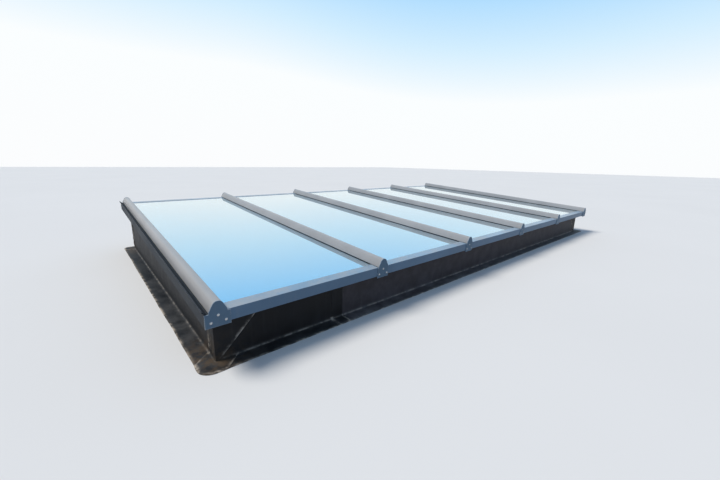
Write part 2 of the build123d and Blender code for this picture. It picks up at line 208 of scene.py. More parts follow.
def makeWearAndHighlightGroup():
    tree, given, made = newGroup("edgeWearAndHighlight", {"Radius": 0.0015, "Amount": 1.0}, ["Mask"])
    rounded = addNode(tree, "ShaderNodeBevel", samples=4)
    tree.links.new(given.outputs["Radius"], rounded.inputs["Radius"])
    shape = addNode(tree, "ShaderNodeNewGeometry")
    dot = addNode(tree, "ShaderNodeVectorMath", operation="DOT_PRODUCT")
    tree.links.new(rounded.outputs[0], dot.inputs[0])
    tree.links.new(shape.outputs["Normal"], dot.inputs[1])
    turn = remap(tree, dot.outputs["Value"], *effects["wearAndHighlightTurn"])
    wornAndHighlight = noiseNode(tree, 35.0, detail=5.0, rough=0.65)
    patchy = remap(tree, wornAndHighlight, low=0.35, high=0.65, lowTo=effects["wearAndHighlightLeast"])
    mask = mathNode(tree, "MULTIPLY", multiply(tree, turn, patchy), given.outputs["Amount"], clamp=True)
    tree.links.new(mask, made.inputs["Mask"])
    return tree


def makeStreakGroup():
    tree, given, made = newGroup("rainStreaks", {"Across": 30.0, "Cover": 0.5}, ["Mask"])
    coords = stretched(tree, 1.0, 1.0, effects["streakLength"])
    across = noiseNode(tree, given.outputs["Across"], detail=4.0, rough=0.6, vector=coords)
    patchy = noiseNode(tree, effects["streakPatches"], detail=3.0, rough=0.5)
    lines = remap(tree, across, low=0.5, high=0.72)
    mask = multiply(tree, lines, remap(tree, patchy, low=0.35, high=0.65))
    mask = mathNode(tree, "MULTIPLY", mask, given.outputs["Cover"], clamp=True)
    tree.links.new(mask, made.inputs["Mask"])
    return tree


groups = {
    "grain": makeGrainGroup(),
    "dust": makeDustGroup(),
    "wearAndHighlight": makeWearAndHighlightGroup(),
    "streaks": makeStreakGroup(),
}


def placeGroup(tree, name, inputs):
    return addNode(tree, "ShaderNodeGroup", inputs, node_tree=groups[name]).outputs


def startMaterial(name, socketValues):
    material = bpy.data.materials.new(name)
    material.use_nodes = True
    tree = material.node_tree
    tree.nodes.clear()
    shader = addNode(tree, "ShaderNodeBsdfPrincipled", socketValues)
    output = addNode(tree, "ShaderNodeOutputMaterial")
    tree.links.new(shader.outputs[0], output.inputs["Surface"])
    return material, tree, shader


def addBump(tree, shader, height, strength, distance):
    bump = addNode(tree, "ShaderNodeBump", {"Strength": strength, "Distance": distance})
    tree.links.new(height, bump.inputs["Height"])
    tree.links.new(bump.outputs[0], shader.inputs["Normal"])


# Powder-coated aluminium of the bars, plates, trims and flashings. It is one coat, and the parts' tones below
# differ by painted light and shade.
coat = {
    "dust": (0.46, 0.44, 0.40),
    # colour of the edges: bare metal where worn, and painted highlight
    "bareAndHighlight": (0.58, 0.60, 0.62),
    "shade": 0.86,           # of the tone, in the darker clouds of the coat
    "roughness": 0.42,
    "roughnessRange": 0.05,
    "lacquerRoughness": 0.18,
    "dustShare": 0.50,
    "dustRoughness": 0.22,
    "dustDulls": 0.7,
    "uprightGloss": 0.3,     # share of the gloss that weather leaves on upright faces
}
coats = {
    "cap": {
        # lighter than the coat's own grey: painted light and a painted highlight of the key on the caps
        "tone": (0.370, 0.367, 0.364),
        "dust": 0.50,
        "streaks": 0.08,
        "wearAndHighlight": 0.8,
        "wearAndHighlightRadius": 0.0016,
        "gloss": 0.25,
        "specular": 0.5,
    },
    "plate": {
        # bluer and darker than the caps: painted blue shade on the plates' front faces
        "tone": (0.220, 0.322, 0.412),
        "dust": 0.22,
        "streaks": 0.22,
        "wearAndHighlight": 0.9,
        # wide pale edges on the plates: wear and painted highlight
        "wearAndHighlightRadius": 0.0035,
        "gloss": 0.15,
        "specular": 0.05,
    },
    "trim": {
        # bluer than the caps: painted blue shade on the trims' front faces
        "tone": (0.222, 0.340, 0.462),
        "dust": 1.0,
        "streaks": 0.18,
        "wearAndHighlight": 0.5,
        "wearAndHighlightRadius": 0.0016,
        "gloss": 0.85,
        "specular": 0.05,
    },
    "flashing": {
        # nearly black: painted shade on the side flashings
        "tone": (0.030, 0.038, 0.048),
        "dust": 0.12,
        "streaks": 0.10,
        "wearAndHighlight": 0.9,
        "wearAndHighlightRadius": 0.0016,
        "gloss": 0.03,
        "specular": 0.02,
    },
    "rafter": {
        "tone": (0.330, 0.332, 0.335),
        "dust": 0.20,
        "streaks": 0.05,
        "wearAndHighlight": 0.3,
        "wearAndHighlightRadius": 0.0016,
        "gloss": 0.2,
        "specular": 0.5,
    },
}


def makeCoatedMetal(name, look):
    sockets = {"Specular IOR Level": look["specular"], "Coat Roughness": coat["lacquerRoughness"]}
    material, tree, shader = startMaterial(name, sockets)
    grain = placeGroup(tree, "grain", {"Scale": 900.0, "Coarse": 3.0})
    dust = placeGroup(tree, "dust", {"Scale": 5.0, "Cover": look["dust"], "Facing": 0.35})
    streaks = placeGroup(tree, "streaks", {"Across": 55.0, "Cover": look["streaks"]})
    wearAndHighlight = placeGroup(tree, "wearAndHighlight", {"Radius": look["wearAndHighlightRadius"], "Amount": look["wearAndHighlight"]})
    tone = look["tone"]
    deeper = tuple(value * coat["shade"] for value in tone)
    colour = mixColour(tree, remap(tree, grain["Tone"], low=0.35, high=0.65), deeper, tone)
    # paler edges: wear, and painted highlight
    colour = mixColour(tree, wearAndHighlight["Mask"], colour, coat["bareAndHighlight"])
    film = mathNode(tree, "MAXIMUM", dust["Mask"], streaks["Mask"])
    colour = mixColour(tree, multiply(tree, film, coat["dustShare"]), colour, coat["dust"])
    tree.links.new(colour, shader.inputs["Base Color"])
    smoothest = coat["roughness"] - coat["roughnessRange"]
    roughest = coat["roughness"] + coat["roughnessRange"]
    rough = remap(tree, grain["Tone"], low=0.3, high=0.7, lowTo=smoothest, highTo=roughest)
    rough = mathNode(tree, "ADD", rough, multiply(tree, film, coat["dustRoughness"]))
    tree.links.new(rough, shader.inputs["Roughness"])
    dulled = multiply(tree, film, look["gloss"] * coat["dustDulls"])
    shine = mathNode(tree, "SUBTRACT", look["gloss"], dulled, clamp=True)
    weathered = remap(tree, dust["Level"], low=0.0, high=1.0, lowTo=coat["uprightGloss"])
    tree.links.new(multiply(tree, shine, weathered), shader.inputs["Coat Weight"])
    addBump(tree, shader, grain["Height"], strength=0.12, distance=0.0004)
    return material


# Mill-finish aluminium of the spacers, with lines along them
mill = {
    "dark": (0.55, 0.56, 0.57),
    "light": (0.72, 0.73, 0.74),
    "roughness": (0.28, 0.42),
}


def makeMillMetal():
    material, tree, shader = startMaterial("millAluminium", {"Metallic": 1.0})
    lines = noiseNode(tree, 300.0, detail=3.0, rough=0.6, vector=stretched(tree, 1.0, 0.03, 1.0))
    tree.links.new(mixColour(tree, lines, mill["dark"], mill["light"]), shader.inputs["Base Color"])
    tree.links.new(remap(tree, lines, 0.3, 0.7, *mill["roughness"]), shader.inputs["Roughness"])
    addBump(tree, shader, lines, strength=0.1, distance=0.0003)
    return material


# Stainless steel of the screws
stainless = {
    "dark": (0.38, 0.40, 0.42),
    "light": (0.52, 0.53, 0.54),
    "wornAndHighlight": (0.70, 0.71, 0.72),
    "roughness": (0.18, 0.36),
}


def makeStainless():
    material, tree, shader = startMaterial("stainless", {"Metallic": 1.0})
    grain = placeGroup(tree, "grain", {"Scale": 1800.0, "Coarse": 250.0})
    wearAndHighlight = placeGroup(tree, "wearAndHighlight", {"Radius": 0.0006, "Amount": 0.7})
    colour = mixColour(tree, grain["Tone"], stainless["dark"], stainless["light"])
    # paler edges of the heads: wear, and painted highlight
    colour = mixColour(tree, wearAndHighlight["Mask"], colour, stainless["wornAndHighlight"])
    tree.links.new(colour, shader.inputs["Base Color"])
    rough = remap(tree, grain["Height"], 0.4, 0.9, *stainless["roughness"])
    tree.links.new(rough, shader.inputs["Roughness"])
    addBump(tree, shader, grain["Height"], strength=0.12, distance=0.0002)
    return material


# Glass. The outer pane carries a light blue solar coating, and both let the lamp's light through.
glass = {
    "dust": (0.88, 0.90, 0.90),
    "dustShare": 0.12,
    "dustRoughness": 0.05,
    "lampShare": (0.42, 0.52, 0.58),
}
panes = {
    "outerGlass": {"name": "coatedGlass", "tint": (0.80, 0.94, 1.0), "mirror": 0.84, "waves": 0.25},
    "innerGlass": {"name": "clearGlass", "tint": (0.86, 0.95, 0.97), "mirror": 0.0, "waves": 0.15},
}


def makeGlass(look):
    sockets = {"Transmission Weight": 1.0, "IOR": 1.52, "Metallic": look["mirror"]}
    material, tree, shader = startMaterial(look["name"], sockets)
    film = placeGroup(tree, "dust", {"Scale": 3.0, "Cover": 0.35, "Facing": 0.6})["Mask"]
    colour = mixColour(tree, multiply(tree, film, glass["dustShare"]), look["tint"], glass["dust"])
    tree.links.new(colour, shader.inputs["Base Color"])
    tree.links.new(multiply(tree, film, glass["dustRoughness"]), shader.inputs["Roughness"])
    waves = noiseNode(tree, 1.6, detail=1.0, rough=0.4)
    addBump(tree, shader, waves, strength=look["waves"], distance=0.002)
    clear = addNode(tree, "ShaderNodeBsdfTransparent", {"Color": (*glass["lampShare"], 1)})
    lamps = addNode(tree, "ShaderNodeLightPath")
    blend = addNode(tree, "ShaderNodeMixShader")
    tree.links.new(lamps.outputs["Is Shadow Ray"], blend.inputs[0])
    tree.links.new(shader.outputs[0], blend.inputs[1])
    tree.links.new(clear.outputs[0], blend.inputs[2])
    output = next(node for node in tree.nodes if node.type == "OUTPUT_MATERIAL")
    tree.links.new(blend.outputs[0], output.inputs["Surface"])
    return material


# Black rubber of the membranes. The sheets carry their pale lines, which are dust with painted highlights and
# painted lift of shade, and soil as vertex attributes.
rubber = {
    "specular": 0.22,
    "fade": 1.7,             # how much paler the rubber is in patches
    "dust": (0.27, 0.27, 0.265),
    "dustShare": 0.6,
    "dustRoughness": 0.25,
    "streaks": 0.35,
    "streakShare": 0.5,
    "lap": (0.72, 0.63, 0.52),
    "soil": (0.090, 0.064, 0.042),
    "roughness": (0.55, 0.68),
}
rubbers = {
    "rubberLeft": {"tone": (0.012, 0.012, 0.013), "dust": 0.26},
    "rubberRight": {"tone": (0.060, 0.053, 0.056), "dust": 0.50},
    "rubberPatch": {"tone": (0.015, 0.015, 0.016), "dust": 0.22},
}


def makeRubberSheet(name, look):
    material, tree, shader = startMaterial(name, {"Specular IOR Level": rubber["specular"]})
    grain = placeGroup(tree, "grain", {"Scale": 700.0, "Coarse": 14.0})
    dust = placeGroup(tree, "dust", {"Scale": 7.0, "Cover": look["dust"], "Facing": 0.2})
    streaks = placeGroup(tree, "streaks", {"Across": 22.0, "Cover": rubber["streaks"]})
    lap = addNode(tree, "ShaderNodeAttribute", attribute_name="lapDustAndLight").outputs["Fac"]
    soil = addNode(tree, "ShaderNodeAttribute", attribute_name="soil").outputs["Fac"]
    faded = tuple(value * rubber["fade"] for value in look["tone"])
    colour = mixColour(tree, remap(tree, grain["Tone"], low=0.35, high=0.7), look["tone"], faded)
    film = mathNode(tree, "MAXIMUM", dust["Mask"], multiply(tree, streaks["Mask"], rubber["streakShare"]))
    colour = mixColour(tree, multiply(tree, film, rubber["dustShare"]), colour, rubber["dust"])
    crumbs = noiseNode(tree, 24.0, detail=6.0, rough=0.7)
    broken = remap(tree, crumbs, low=0.42, high=0.62, lowTo=0.10)
    # pale lines: dust at edges and seams, with painted highlight on the pleats and painted lift of shade
    colour = mixColour(tree, multiply(tree, lap, broken), colour, rubber["lap"])
    clods = noiseNode(tree, 18.0, detail=6.0, rough=0.7)
    earth = multiply(tree, soil, remap(tree, clods, low=0.4, high=0.62))
    colour = mixColour(tree, earth, colour, rubber["soil"])
    tree.links.new(colour, shader.inputs["Base Color"])
    rough = remap(tree, grain["Tone"], 0.3, 0.7, *rubber["roughness"])
    rough = mathNode(tree, "ADD", rough, multiply(tree, film, rubber["dustRoughness"]), clamp=True)
    tree.links.new(rough, shader.inputs["Roughness"])
    addBump(tree, shader, grain["Height"], strength=0.25, distance=0.0006)
    return material


# Sawn softwood of the kerb, with grain along each board
timber = {
    "specular": 0.3,
    "along": 1.1,            # scale of the grain along a board and across it
    "across": 14.0,
    "late": (0.56, 0.39, 0.22),
    "early": (0.70, 0.53, 0.33),
    "stain": (0.48, 0.31, 0.17),
    "stainShare": 0.5,
    "fibre": (0.36, 0.22, 0.11),
    "fibreShare": 0.45,
    "roughness": (0.62, 0.82),
}


def makeTimber(name, lengthwise):
    material, tree, shader = startMaterial(name, {"Specular IOR Level": timber["specular"]})
    scales = [timber["along"] if axis == lengthwise else timber["across"] for axis in "XYZ"]
    coords = stretched(tree, *scales)
    warp = noiseNode(tree, 0.9, detail=3.0, rough=0.5, vector=coords)
    ringShape = {"Scale": 1.1, "Distortion": 5.0, "Detail": 3.0, "Detail Scale": 1.4}
    rings = addNode(tree, "ShaderNodeTexWave", ringShape, bands_direction="Z")
    tree.links.new(coords, rings.inputs["Vector"])
    fibres = noiseNode(tree, 30.0, detail=4.0, rough=0.7, vector=coords)
    colour = mixColour(tree, rings.outputs["Fac"], timber["late"], timber["early"])
    stain = remap(tree, warp, low=0.35, high=0.7, highTo=timber["stainShare"])
    colour = mixColour(tree, stain, colour, timber["stain"])
    dark = remap(tree, fibres, low=0.5, high=0.8, highTo=timber["fibreShare"])
    colour = mixColour(tree, dark, colour, timber["fibre"])
    tree.links.new(colour, shader.inputs["Base Color"])
    tree.links.new(remap(tree, fibres, 0.3, 0.7, *timber["roughness"]), shader.inputs["Roughness"])
    addBump(tree, shader, fibres, strength=0.35, distance=0.0008)
    return material


# Moulded and extruded materials that share one form
moulding = {
    "finer": 12,             # scale of the fine grain to each of the coarse one
    "dustShare": 0.35,
    "smoother": 0.06,
    "rougher": 0.08,
}
moulded = {
    "closure": {
        "name": "foamBlock",
        "dark": (0.028, 0.028, 0.030),
        "light": (0.05, 0.05, 0.052),
        "roughness": 0.85,
        "coarse": 120.0,
        "bump": 0.5,
        "specular": 0.2,
    },
    "packer": {
        "name": "whitePacker",
        "dark": (0.70, 0.70, 0.68),
        "light": (0.78, 0.78, 0.76),
        "roughness": 0.45,
        "coarse": 60.0,
        "bump": 0.1,
        "specular": 0.45,
    },
    "gasket": {
        "name": "sealRubber",
        "dark": (0.012, 0.012, 0.013),
        "light": (0.022, 0.022, 0.023),
        "roughness": 0.6,
        "coarse": 90.0,
        "bump": 0.2,
        "specular": 0.4,
    },
}


def makeMoulded(look):
    material, tree, shader = startMaterial(look["name"], {"Specular IOR Level": look["specular"]})
    fine = look["coarse"] * moulding["finer"]
    grain = placeGroup(tree, "grain", {"Scale": fine, "Coarse": look["coarse"]})
    dust = placeGroup(tree, "dust", {"Scale": 9.0, "Cover": 0.4, "Facing": 0.3})
    colour = mixColour(tree, remap(tree, grain["Tone"], low=0.35, high=0.65), look["dark"], look["light"])
    colour = mixColour(tree, multiply(tree, dust["Mask"], moulding["dustShare"]), colour, coat["dust"])
    tree.links.new(colour, shader.inputs["Base Color"])
    smoothest = look["roughness"] - moulding["smoother"]
    roughest = look["roughness"] + moulding["rougher"]
    rough = remap(tree, grain["Tone"], low=0.3, high=0.7, lowTo=smoothest, highTo=roughest)
    tree.links.new(rough, shader.inputs["Roughness"])
    addBump(tree, shader, grain["Height"], strength=look["bump"], distance=0.0006)
    return material


print("making materials")
finishes = {
    "timberAcross": makeTimber("timberAcross", "X"),
    "timberDeep": makeTimber("timberDeep", "Y"),
    "spacer": makeMillMetal(),
    "stainless": makeStainless(),
}
for finish, look in coats.items():
    finishes[finish] = makeCoatedMetal(finish + "Coat", look)
for finish, look in panes.items():
    finishes[finish] = makeGlass(look)
for finish, look in rubbers.items():
    finishes[finish] = makeRubberSheet(finish, look)
for finish, look in moulded.items():
    finishes[finish] = makeMoulded(look)

# Starts of the CAD nodes' names. The first that fits counts.
nodeFinish = {
    "kerb_front": "timberAcross",
    "kerb_back": "timberAcross",
    "kerb_left": "timberDeep",
    "kerb_right": "timberDeep",
    "kerb_screws": "stainless",
    "rafter_screws": "stainless",
    "rafter_": "rafter",
    "bar_cap": "cap",
    "front_end_plate": "plate",
    "back_end_plates": "plate",
    "outer_pane": "outerGlass",
    "inner_pane": "innerGlass",
    "spacer_frames": "spacer",
    "front_trim": "trim",
    "back_trims": "trim",
    "front_closures": "closure",
    "back_closures": "closure",
    "side_flashing": "flashing",
    "edge_packer": "packer",
    "lower_gaskets": "gasket",
    "upper_gaskets": "gasket",
}


def setFinish(piece, finish):
    piece.data.materials.clear()
    piece.data.materials.append(finishes[finish])


def dressNodes():
    for name, node in nodes.items():
        for start, finish in nodeFinish.items():
            if name.startswith(start):
                setFinish(node, finish)
                break


print("dressing the CAD nodes")
dressNodes()


# Folded and extruded metal: round stretches shade smoothly and every edge is eased a little
edges = {
    "sharp": math.radians(28),
    "weld": 0.000002,
    "segments": 2,
    "radius": {
        "bar_cap": 0.0006,
        "front_end_plate": 0.0004,
        "back_end_plates": 0.0004,
        "front_trim": 0.0008,
        "back_trims": 0.0008,
        "side_flashing": 0.0008,
    },
}


def makeSmoothGroup():
    tree = bpy.data.node_groups.new("smoothByAngle", "GeometryNodeTree")
    tree.interface.new_socket("Mesh", in_out="INPUT", socket_type="NodeSocketGeometry")
    tree.interface.new_socket("Mesh", in_out="OUTPUT", socket_type="NodeSocketGeometry")
    given = addNode(tree, "NodeGroupInput")
    made = addNode(tree, "NodeGroupOutput")
    weld = addNode(tree, "GeometryNodeMergeByDistance", {"Distance": edges["weld"]})
    faces = addNode(tree, "GeometryNodeSetShadeSmooth", {"Shade Smooth": True}, domain="FACE")
    angle = addNode(tree, "GeometryNodeInputMeshEdgeAngle")
    keen = addNode(tree, "FunctionNodeCompare", {1: edges["sharp"]}, data_type="FLOAT", operation="LESS_THAN")
    rims = addNode(tree, "GeometryNodeSetShadeSmooth", domain="EDGE")
    tree.links.new(given.outputs[0], weld.inputs["Geometry"])
    tree.links.new(weld.outputs[0], faces.inputs["Geometry"])
    tree.links.new(angle.outputs["Unsigned Angle"], keen.inputs[0])
    tree.links.new(faces.outputs[0], rims.inputs["Geometry"])
    tree.links.new(keen.outputs[0], rims.inputs["Shade Smooth"])
    tree.links.new(rims.outputs[0], made.inputs[0])
    return tree


def easeEdges():
    group = makeSmoothGroup()
    for name, node in nodes.items():
        for start, radius in edges["radius"].items():
            if name.startswith(start):
                node.modifiers.new("smooth", "NODES").node_group = group
                bevel = node.modifiers.new("ease", "BEVEL")
                bevel.width = radius
                bevel.segments = edges["segments"]
                bevel.limit_method = "ANGLE"
                bevel.angle_limit = edges["sharp"]
                bevel.harden_normals = True


print("easing the edges of the metal")
easeEdges()


# Membranes: each CAD sheet is cut into a fine grid and given ripples, pleats and a soft cove at its foot.
# A pair of places is where an effect starts and where it is full, or the reverse.
sheets = {
    "thickness": 0.0015,
    "rim": 0.0018,           # a face narrower than this is an edge of the sheet
    "cell": 0.012,           # grid along a kerb face
    "gridStart": 0.036,      # height where the even grid starts, above the finer cuts
    "edgeCuts": (0.002, 0.0045, 0.008, 0.013, 0.020, 0.030),
    "seamCuts": 3,           # how many of those cuts lie on each side of a seam
    "patchCell": 0.005,      # grid of a corner patch
    "patchCellUp": 0.008,
    "patchFootCuts": [0.0045, 0.007],
    "patchGridStart": 0.010,
    "weld": 1e-6,
    "smoothAngle": math.radians(38),
    "cove": 0.014,           # radius where the sheet turns from the face to the deck
    "coveLift": 0.293,       # share of the radius by which the cove stands off its corner
    "calm": 0.030,           # reach beside the kerb's corners that stays plain
    "bulge": 0.0035,
    "bulgeFoot": (0.006, 0.05),
    "bulgeTop": (0.0, 0.03),
    "bulgeWaves": (3.1, 5.0),    # noise scale along a face and up it
    "fineWaves": (11.0, 9.0),
    "fineShare": 0.3,
    "footTop": 0.006,        # what lies below this is on the deck
    "ripple": 0.0024,
    "rippleScale": 8.0,
    "rippleNear": (0.004, 0.022),
    "rippleFar": (0.048, 0.066),
    "wobble": 0.004,         # of the foot's outer edge
    "wobbleScale": 4.0,
    "wobbleReach": (0.025, 0.07),
    "sideSeed": 7.0,         # keeps the side sheets' noise unlike the end sheets'
    "endSeed": 2.0,
    "pleatPitch": 0.017,
    "pleatDepth": 0.0042,
    "pleatReach": 0.075,
    "pleatLean": 0.12,
    "pleatNear": (0.004, 0.018),
    "pleatFar": (0.0, 0.035),
    "pleatFoot": (0.004, 0.03),
    "pleatFade": 0.6,
    "pleatHigh": (0.05, 0.12),
}


def smooth(value, low, high):
    share = min(1.0, max(0.0, (value - low) / (high - low)))
    return share * share * (3 - 2 * share)


def softNoise(x, y, z):
    return 0.5 + 0.5 * noise.noise(Vector((x, y, z)))


def kerbTop(y):
    return frontHeight + (y + halfDepth) * math.tan(slopeAngle)


def pleatRidge(point):
    # Small upright folds that gather the side sheets at each corner of the kerb
    x, y, z = point
    outX, outY = abs(x) - halfWidth, abs(y) - halfDepth
    if outX < outY or outX < -hairline or -outY > sheets["pleatReach"]:
        return 0.0
    fan = -outY + sheets["pleatLean"] * z
    ridge = max(0.0, math.cos(2 * math.pi * fan / sheets["pleatPitch"])) ** 2
    depth = smooth(-outY, *sheets["pleatNear"]) * smooth(sheets["pleatReach"] + outY, *sheets["pleatFar"])
    fade = 1 - sheets["pleatFade"] * smooth(z, *sheets["pleatHigh"])
    return ridge * depth * smooth(z, *sheets["pleatFoot"]) * fade


def sheetShift(point):
    # How far a point of a sheet moves
    x, y, z = point
    outX, outY = abs(x) - halfWidth, abs(y) - halfDepth
    out = max(outX, outY)
    shift = Vector((0, 0, 0))
    if out < -hairline:
        return shift
    onSide = outX > outY
    outward = Vector((math.copysign(1, x), 0, 0)) if onSide else Vector((0, math.copysign(1, y), 0))
    along = y if onSide else x
    seed = sheets["sideSeed"] if onSide else sheets["endSeed"]
    calm = smooth(-min(outX, outY), 0.0, sheets["calm"])
    away = max(out, z)
    if away < sheets["cove"]:
        lift = sheets["coveLift"] * sheets["cove"] * (1 - away / sheets["cove"]) ** 2 * calm
        shift += outward * lift + Vector((0, 0, lift))
    waveAlong, waveUp = sheets["bulgeWaves"]
    fineAlong, fineUp = sheets["fineWaves"]
    wave = softNoise(along * waveAlong, z * waveUp, seed + math.copysign(3, x + y))
    fine = softNoise(along * fineAlong, z * fineUp, seed * 2.3)
    swell = (1 - sheets["fineShare"]) * wave * wave + sheets["fineShare"] * fine
    wall = smooth(z, *sheets["bulgeFoot"]) * smooth(kerbTop(y) - z, *sheets["bulgeTop"]) * calm
    shift += outward * sheets["bulge"] * wall * swell
    shift += outward * sheets["pleatDepth"] * pleatRidge(point)
    if z < sheets["footTop"]:
        field = smooth(out, *sheets["rippleNear"]) * (1 - smooth(out, *sheets["rippleFar"]))
        scale = sheets["rippleScale"]
        shift.z += sheets["ripple"] * field * softNoise(x * scale, y * scale, 4.0)
        reach = smooth(out, *sheets["wobbleReach"]) * calm
        shift -= outward * sheets["wobble"] * softNoise(along * sheets["wobbleScale"], seed, 9.0) * reach
    return shift


def cutGrid(mesh, axis, places):
    normal = Vector([1.0 if i == axis else 0.0 for i in range(3)])
    for place in places:
        whole = mesh.verts[:] + mesh.edges[:] + mesh.faces[:]
        spot = normal * place
        bmesh.ops.bisect_plane(mesh, geom=whole, dist=sheets["weld"], plane_co=spot, plane_no=normal)


def spaced(low, high, step):
    count = max(1, round((high - low) / step))
    return [low + (high - low) * i / count for i in range(1, count)]


def edgeSteps(edge, towards, count=None):
    return [edge + towards * step for step in sheets["edgeCuts"][:count]]


def cutPatch(mesh, low, high, longWay, shortWay):
    cutGrid(mesh, longWay, spaced(low[longWay], high[longWay], sheets["patchCell"]))
    cutGrid(mesh, shortWay, spaced(low[shortWay], high[shortWay], sheets["patchCell"]))
    above = spaced(sheets["patchGridStart"], high.z, sheets["patchCellUp"])
    cutGrid(mesh, 2, sheets["patchFootCuts"] + above)


def cutSheet(mesh, low, high, longWay, shortWay, segments):
    # Even cuts along the face, and finer ones beside the foot's edges and the seams
    cutGrid(mesh, longWay, spaced(low[longWay], high[longWay], sheets["cell"]))
    side = -1 if low[shortWay] + high[shortWay] < 0 else 1
    face = (halfDepth if longWay == 0 else halfWidth) * side
    toe = low[shortWay] if side < 0 else high[shortWay]
    cutGrid(mesh, shortWay, edgeSteps(face, side) + edgeSteps(toe, -side))
    above = spaced(sheets["gridStart"], high.z, sheets["cell"])
    cutGrid(mesh, 2, edgeSteps(sheets["thickness"], 1) + above)
    ends = segments[:, :, longWay]
    upright = np.abs(ends[:, 0] - ends[:, 1]) < 10 * sheets["weld"]
    for place in sorted(set(np.round(ends[upright, 0], 4))):
        beside = edgeSteps(place, 1, sheets["seamCuts"]) + edgeSteps(place, -1, sheets["seamCuts"])
        cutGrid(mesh, longWay, [cut for cut in beside if low[longWay] < cut < high[longWay]])


def rimSegments(mesh):
    # The edges of the thin faces, which are where the sheet ends
    found = set()
    for face in mesh.faces:
        if 2 * face.calc_area() / face.calc_perimeter() < sheets["rim"]:
            found.update(edge for edge in face.edges if edge.calc_length() > sheets["rim"])
    return np.array([[list(vertex.co) for vertex in edge.verts] for edge in found])


def distanceTo(segments, points):
    nearest = np.full(len(points), 1.0)
    for start, end in segments:
        line = end - start
        share = np.clip((points - start) @ line / (line @ line), 0, 1)
        gap = np.linalg.norm(points - start - share[:, None] * line, axis=1)
        nearest = np.minimum(nearest, gap)
    return nearest


def addAttribute(mesh, name, values):
    attribute = mesh.attributes.new(name, "FLOAT", "POINT")
    attribute.data.foreach_set("value", values.astype(np.float32))


def markSharp(mesh, angle):
    for face in mesh.faces:
        face.smooth = True
    for edge in mesh.edges:
        edge.smooth = len(edge.link_faces) == 2 and edge.calc_face_angle(0.0) < angle


# Dust and soil that the sheets catch, with painted highlights on the pleats and painted lift of the shade at
# the front and back. A line is an amount from 0 to 1, and a width is in metres.
sheetDustAndLight = {
    "footTop": 0.01,
    "footEdgeLine": 0.75,
    "footEdgeWidth": 0.0060,
    "patchLine": 1.0,
    "seamLine": 0.04,
    "seamWidth": 0.0034,
    "baseLine": 0.24,        # where a face meets the deck
    # stronger on the front and back, which lie in the key's shade: painted lift of that shade over the dust
    "shadeLiftBaseLine": 0.50,  # the same at the front and back
    "baseWidth": 0.006,
    # pale pleat ridges: painted highlight where the folds catch the light
    "pleatHighlight": 0.45,
    "soilReach": 0.13,
    "soilRise": 0.06,
    "soilPlace": 0.02,       # out from the side face and in from the end face
}


def dustAndLightLines(points, segments, isPatch):
    rim = distanceTo(segments, points)
    outside = np.maximum(np.abs(points[:, 0]) - halfWidth, np.abs(points[:, 1]) - halfDepth)
    base = np.hypot(np.maximum(outside, 0), points[:, 2])
    onFoot = points[:, 2] < sheetDustAndLight["footTop"]
    upperLine = sheetDustAndLight["patchLine"] if isPatch else sheetDustAndLight["seamLine"]
    edgeLine = np.where(onFoot, sheetDustAndLight["footEdgeLine"], upperLine)
    width = np.where(onFoot | isPatch, sheetDustAndLight["footEdgeWidth"], sheetDustAndLight["seamWidth"])
    atEnds = np.abs(points[:, 1]) > halfDepth - hairline
    # front and back faces get the stronger line, a painted lift of their shade
    baseLine = np.where(atEnds, sheetDustAndLight["shadeLiftBaseLine"], sheetDustAndLight["baseLine"])
    folds = np.array([pleatRidge(point) for point in points])
    lines = np.maximum(
        edgeLine * np.exp(-(rim / width) ** 2),
        baseLine * np.exp(-(base / sheetDustAndLight["baseWidth"]) ** 2),
    )
    # the pleat ridges take the pale colour as a painted highlight
    return np.maximum(lines, sheetDustAndLight["pleatHighlight"] * folds ** 2)


def soilAtCorners(points):
    fromSide = np.abs(points[:, 0]) - halfWidth - sheetDustAndLight["soilPlace"]
    fromEnd = np.abs(points[:, 1]) - halfDepth + sheetDustAndLight["soilPlace"]
    reach = np.hypot(fromSide, fromEnd) / sheetDustAndLight["soilReach"]
    return np.exp(-reach ** 2) * np.exp(-points[:, 2] / sheetDustAndLight["soilRise"])


def makeSheet(name, finish):
    low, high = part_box(name)
    mesh = bmesh.new()
    mesh.from_mesh(nodes[name].data)
    bmesh.ops.remove_doubles(mesh, verts=mesh.verts[:], dist=sheets["weld"])
    bmesh.ops.dissolve_limit(mesh, angle_limit=math.radians(1), verts=mesh.verts[:], edges=mesh.edges[:])
    segments = rimSegments(mesh)
    isPatch = "corner" in name
    longWay = 0 if high.x - low.x > high.y - low.y else 1
    shortWay = 1 - longWay
    if isPatch:
        cutPatch(mesh, low, high, longWay, shortWay)
    else:
        cutSheet(mesh, low, high, longWay, shortWay, segments)
    points = np.array([list(vertex.co) for vertex in mesh.verts])
    for vertex in mesh.verts:
        vertex.co += sheetShift(vertex.co)
    markSharp(mesh, sheets["smoothAngle"])
    made = bpy.data.meshes.new(name + "_sheet")
    mesh.to_mesh(made)
    mesh.free()
    addAttribute(made, "lapDustAndLight", dustAndLightLines(points, segments, isPatch))
    addAttribute(made, "soil", soilAtCorners(points))
    piece = bpy.data.objects.new(name + "_sheet", made)
    bpy.context.scene.collection.objects.link(piece)
    setFinish(piece, finish)
    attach(piece, "root")
    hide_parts(name)
    print("made", piece.name, len(made.polygons), "faces")


print("making membranes")
makeSheet("membrane_front_left", "rubberLeft")
makeSheet("membrane_left", "rubberLeft")
makeSheet("membrane_front_right", "rubberRight")
makeSheet("membrane_back", "rubberRight")
makeSheet("membrane_right", "rubberRight")
for end in ("front", "back"):
    for side in ("left", "right"):
        makeSheet(f"membrane_corner_{end}_{side}", "rubberPatch")


